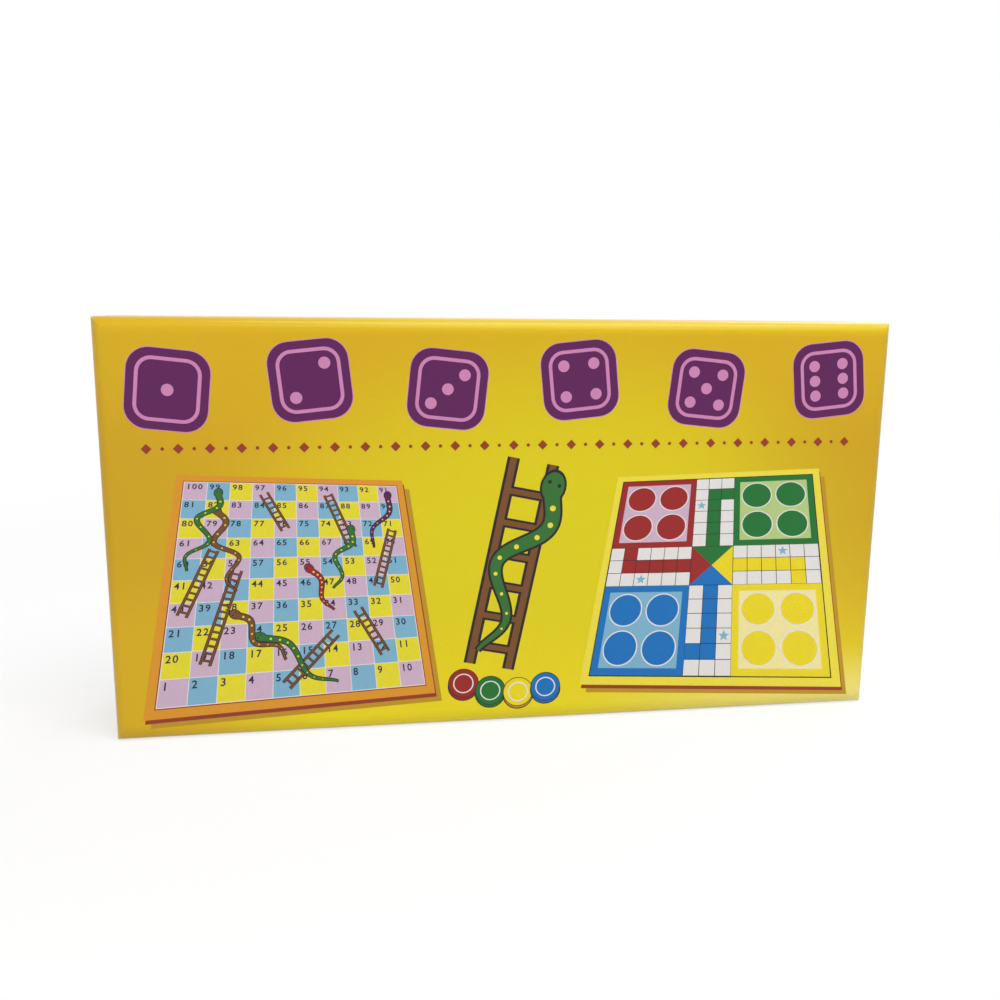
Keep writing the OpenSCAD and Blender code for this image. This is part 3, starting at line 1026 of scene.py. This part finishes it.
def half_outline(inset, crease, upper):
    """Half of the board, set in from its edges and its crease, with two round outer corners."""
    turn = np.linspace(math.pi, 1.5 * math.pi, 9)
    left = np.stack([np.cos(turn), np.sin(turn)], 1) * CORNER_MM + CORNER_MM + inset
    right = left[::-1] * (-1, 1) + (BOARD_MM, 0)
    top = leaf_h / MM - crease
    lower = np.concatenate([left, right, [(BOARD_MM - inset, top), (inset, top)]])
    return lower * (1, -1) + (0, BOARD_MM) if upper else lower


def board_print(face, leaf):
    """One printed half of a face, lying on the outer side of its sheet."""
    design, across, inset, crease, slot = FACES[face]
    upper = leaf == "front"
    node = f"{face}_sheet_{leaf}"
    low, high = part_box(node)
    faces_front = (across > 0) != upper
    level = low[1] - INK_LIFT if faces_front else high[1] + INK_LIFT

    def to_space(points):
        x = across * (points[:, 0] - board_side / 2)
        z = leaf_low[2] + (board_side - points[:, 1] if upper else points[:, 1])
        return np.stack([x, np.full(len(x), level), z], 1)

    outline = half_outline(inset, crease, upper)
    printed(f"{face}_print_{leaf}", f"board_{leaf}", outline, design(BOARD_MM), to_space)


for leaf in ("back", "front"):
    for face in FACES:
        board_print(face, leaf)

# %% [markdown]
# Under the print lie the sheets, tinted like its margin where they turn over the edges and worn
# white along the crease, and the greyboard cores: pressed waste paper, grey-brown, with darker and
# paler fibres in it. The solids have these shapes already, so only their finish is made here.

# %% Sheets and cores
GREYBOARD = screen_rgb(139, 131, 118)
UNCOATED = {"Roughness": 0.82, "Specular IOR Level": 0.2}
PULP_CLOUD, PULP_FIBRE, PULP_HEIGHT = 9 * MM, 0.7 * MM, 0.05 * MM
DARK_FIBRE, PALE_FIBRE = (0.6, 0.72), (0.3, 0.42)
CREASE_RUB = 1.6 * MM


def greyboard_look(place):
    """Broad clouds, and fine dark and pale fibres over them."""
    clouds = place.noise(PULP_CLOUD).vary(GREYBOARD, 0.15)
    fibres = place.noise(PULP_FIBRE, 5.0)
    ground = (fibres.rise(*DARK_FIBRE) * 0.5).mix(clouds, shade_of(GREYBOARD, 0.45))
    ground = ((1.0 - fibres.rise(*PALE_FIBRE)) * 0.4).mix(ground, FIBRE_WHITE)
    return {"Base Color": ground, "Normal": fibres.bump(PULP_HEIGHT)}


def sheet_finish(name, ink):
    """Inked paper, rubbed to its white fibre towards the crease."""
    colour = screen_rgb(*INKS[ink])

    def look(place):
        _, _, z = place.axes()
        worn = z.rise(leaf_high[2] - CREASE_RUB, leaf_high[2] - 0.5 * CREASE_RUB)
        inked = grain(place).vary(colour, INK_SPREAD)
        return {"Base Color": worn.mix(inked, FIBRE_WHITE), "Normal": laminate_normal(place)}

    return finish(name, LAMINATE, look)


dress(["back_leaf", "front_leaf"], finish("greyboard", UNCOATED, greyboard_look))
dress(["snakes_sheet_back", "snakes_sheet_front"], sheet_finish("grid_sheet", "orange"))
dress(["ludo_sheet_back", "ludo_sheet_front"], sheet_finish("ludo_sheet", "lemon"))
print("board finished")

# %% [markdown]
# ## The tray
# The inner half of the carton is plain white-lined board: off-white, a little cloudy, with a few
# stray fibres, grey where it is cut along the rim, and slightly soiled along its folds. As on the
# lid, rim and folds are found by their distance from the faces of the tray's box.

# %% Tray
LINER = screen_rgb(216, 213, 206)
TRAY_BOARD = {"Roughness": 0.62, "Specular IOR Level": 0.3}
LINER_CLOUD, STRAY_SIZE = 14 * MM, 0.8 * MM
SOIL_SPOT, SOIL_REACH = 4 * MM, 6 * MM
TRAY_SWELL, TRAY_SWELL_HEIGHT = 40 * MM, 0.3 * MM


def tray_look(place):
    """Off-white with clouds and stray fibres, grey on the cut rim and dull along the folds."""
    x, y, z = place.axes()
    middle = (tray_low + tray_high) / 2
    half = (tray_high - tray_low) / 2
    side, edge = abs(x) - half[0], abs(z - middle[2]) - half[2]
    back = y - tray_high[1]
    fold = middle_of(side, edge, back)
    clouds = place.noise(LINER_CLOUD, 3.0).mix(shade_of(LINER, 0.93), shade_of(LINER, 1.03))
    strays = place.noise(STRAY_SIZE, 5.0).rise(0.7, 0.76) * 0.35
    soil = (place.noise(SOIL_SPOT, 5.0) + fold / SOIL_REACH).rise(0.3, 0.7) * 0.3
    liner = soil.most(strays).mix(clouds, shade_of(GREYBOARD, 0.8))
    rim = 1.0 - y.rise(tray_low[1] + RIM_CUT[1], tray_low[1] + RIM_CUT[0])
    swell = place.noise(TRAY_SWELL, 0.0).bump(TRAY_SWELL_HEIGHT)
    return {
        "Base Color": rim.mix(liner, GREYBOARD),
        "Roughness": rim.most(soil) * 0.2 + TRAY_BOARD["Roughness"],
        "Normal": place.noise(FIBRE_SIZE).bump(FIBRE_HEIGHT, swell),
    }


dress(["base_tray"], finish("white_lined_board", TRAY_BOARD, tray_look))
print("tray finished")

# %% [markdown]
# ## The formed insert
# A warm plastic sheet is drawn down over a mould, so every edge of its deck comes out soft. The
# solid has those edges sharp. A copy of its mesh is merged, its flat triangles are joined into
# whole faces, and the deck's edges get a small round; face-weighted normals keep the flats flat.
# Where the sheet was drawn deeper it is thinner, and it is painted a little greyer with its depth
# below the deck: partly that thinning, partly painted shade in the wells.

# %% Insert
RIM_ROUND = 0.6 * MM
SHEET_WHITE = screen_rgb(226, 227, 225)
MERGE_REACH = 2e-6
FLAT_ANGLE = 0.002
SHARP_ANGLE = math.radians(40)


def rounded_copy(node, name, level):
    """A merged copy of a solid whose sharp edges at this level of Y are rounded off."""
    net = bmesh.new()
    net.from_mesh(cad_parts[node].data)
    bmesh.ops.remove_doubles(net, verts=net.verts, dist=MERGE_REACH)
    bmesh.ops.dissolve_limit(net, angle_limit=FLAT_ANGLE, verts=net.verts, edges=net.edges)
    rim = [
        edge
        for edge in net.edges
        if all(abs(corner.co.y - level) < MERGE_REACH for corner in edge.verts)
        and edge.calc_face_angle(0.0) > SHARP_ANGLE
    ]
    bmesh.ops.bevel(net, geom=rim, offset=RIM_ROUND, segments=4, profile=0.5, affect="EDGES")
    mesh = bpy.data.meshes.new(name)
    net.to_mesh(mesh)
    net.free()
    mesh.shade_smooth()
    mesh.set_sharp_from_angle(angle=SHARP_ANGLE)
    piece = add_object(name, mesh)
    normals = piece.modifiers.new("flat_faces", "WEIGHTED_NORMAL")
    normals.keep_sharp = True
    print(name, len(rim), "edges rounded,", len(mesh.polygons), "faces")
    return piece


insert_low, insert_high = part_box("insert_tray")
FORMED = {"Specular IOR Level": 0.45, "Coat Weight": 0.0}
SCUFF_SIZE = 5 * MM
RIPPLE_SIZE, RIPPLE_HEIGHT = 22 * MM, 0.12 * MM
SKIN_SIZE, SKIN_HEIGHT = 1.1 * MM, 0.008 * MM


def formed_look(place):
    """White sheet, greyer with its depth below the deck, partly as thinner sheet and partly as
    painted shade in the wells, with a faint ripple from the mould.
    """
    _, y, _ = place.axes()
    depth = (y - insert_low[1]).rise(0.0, insert_high[1] - insert_low[1])
    # Greyer with depth: partly the thinner sheet, partly painted shade in the wells.
    thinned_and_shaded = depth.mix(SHEET_WHITE, shade_of(SHEET_WHITE, 0.8))
    scuffs = place.noise(SCUFF_SIZE, 6.0).rise(0.5, 0.8)
    ripple = place.noise(RIPPLE_SIZE, 0.0).bump(RIPPLE_HEIGHT)
    return {
        "Base Color": (scuffs * 0.08).mix(thinned_and_shaded, shade_of(SHEET_WHITE, 0.7)),
        "Roughness": scuffs * 0.15 + 0.26,
        "Normal": place.noise(SKIN_SIZE, 1.0).bump(SKIN_HEIGHT, ripple),
    }


insert = rounded_copy("insert_tray", "formed_insert", insert_low[1])
insert.data.materials.append(finish("formed_white", FORMED, formed_look))
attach(insert, "tray")
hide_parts("insert_tray")

# %% [markdown]
# ## Counters, pawns and the die
# These are moulded plastic: an even colour with faint flow marks, a satin gloss that handling has
# dulled in places, and a very fine skin. The solids are turned shapes already, so they only get
# their finish, one for each colour.

# %% Moulded plastic
PLASTICS = {
    "red": (150, 30, 28),
    "green": (24, 112, 48),
    "yellow": (222, 192, 22),
    "blue": (10, 92, 168),
}
DIE_RED = screen_rgb(146, 26, 26)
MOULDED = {"Specular IOR Level": 0.5, "Coat Weight": 0.0}
FLOW_SIZE, FLOW_SPREAD, WORN_SPOT = 7 * MM, 0.12, 2.4 * MM
PLASTIC_SKIN, PLASTIC_SKIN_HEIGHT = 0.45 * MM, 0.004 * MM


def moulded(name, colour):
    """A plastic with flow marks in its colour and worn spots in its gloss."""

    def look(place):
        worn = place.noise(WORN_SPOT, 6.0).rise(0.45, 0.75)
        return {
            "Base Color": place.noise(FLOW_SIZE, 3.0).vary(colour, FLOW_SPREAD),
            "Roughness": worn * 0.2 + 0.22,
            "Normal": place.noise(PLASTIC_SKIN, 1.0).bump(PLASTIC_SKIN_HEIGHT),
        }

    return finish(name, MOULDED, look)


for colour, rgb in PLASTICS.items():
    names = [f"counter_{colour}_{place}" for place in range(1, 5)] + [f"pawn_{colour}"]
    dress(names, moulded("moulded_" + colour, screen_rgb(*rgb)))
dress(["die"], moulded("moulded_die", DIE_RED))
print("playing pieces finished")

# %% [markdown]
# The die's pips are dishes filled with white paint. A dish is part of a ball, so its paint is a
# cap of a slightly smaller ball. One grid of angles gives a cap, and all caps are its copies,
# moved along the face and turned with it.

# %% Pips
PIP_R = 1.8 * MM
PIP_DEPTH = 0.6 * MM
PIP_PITCH = 4.2 * MM
PAINT = 0.03 * MM
PIP_WHITE = screen_rgb(214, 211, 206)
PIP_FACES = {3: ("X", 0), 4: ("X", 180), 2: ("X", 90), 5: ("X", -90), 1: ("Y", 90), 6: ("Y", -90)}
die_low, die_high = (np.array(corner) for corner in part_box("die"))
die_middle = (die_low + die_high) / 2


def pip_cap(ball, low, edge, rings=7, sides=28):
    """The bottom of a ball of this radius whose centre is at height low, up to the height edge:
    points (r sin a cos b, r sin a sin b, low - r cos a), a fan round the pole, then quads."""
    rise = np.linspace(0, math.acos((low - edge) / ball), rings + 1)[1:]
    turn = np.linspace(0, 2 * math.pi, sides, endpoint=False)
    a, b = np.meshgrid(rise, turn, indexing="ij")
    reach = ball * np.sin(a)
    wall = np.stack([reach * np.cos(b), reach * np.sin(b), low - ball * np.cos(a)], -1)
    points = np.concatenate([[(0, 0, low - ball)], wall.reshape(-1, 3)])
    step = np.arange(sides)
    ahead = (step + 1) % sides
    fan = np.stack([0 * step, 1 + step, 1 + ahead], -1)
    first = 1 + sides * np.arange(rings - 1)[:, None]
    quads = np.stack([first + step, first + sides + step, first + sides + ahead, first + ahead], -1)
    return points, fan, quads.reshape(-1, 4)


def painted_pips():
    """Every cap of the die in one piece: one cap, moved to each pip and turned with its face."""
    half = (die_high[0] - die_low[0]) / 2
    cap, fan, quads = pip_cap(PIP_R - PAINT, half + PIP_R - PIP_DEPTH, half - PAINT)
    caps = []
    stand = Matrix.Rotation(math.pi / 2, 3, "X")
    for value, (axis, angle) in PIP_FACES.items():
        turn = np.array(stand @ Matrix.Rotation(math.radians(angle), 3, axis))
        for across, up in PIP_STEPS[value]:
            caps.append((cap + (PIP_PITCH * across, PIP_PITCH * up, 0)) @ turn.T + die_middle)
    first = len(cap) * np.arange(len(caps))[:, None, None]
    fans, walls = (first + fan).reshape(-1, 3), (first + quads).reshape(-1, 4)
    mesh = bpy.data.meshes.new("die_pips")
    mesh.from_pydata(np.concatenate(caps).tolist(), [], fans.tolist() + walls.tolist())
    mesh.shade_smooth()
    piece = add_object("die_pips", mesh)
    paint = piece.modifiers.new("paint_thickness", "SOLIDIFY")
    paint.thickness = PAINT / 2
    paint.offset = -1.0
    return piece


pips = painted_pips()
pips.data.materials.append(moulded("pip_paint", PIP_WHITE))
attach(pips, "die")
print("pips:", len(pips.data.polygons), "faces")
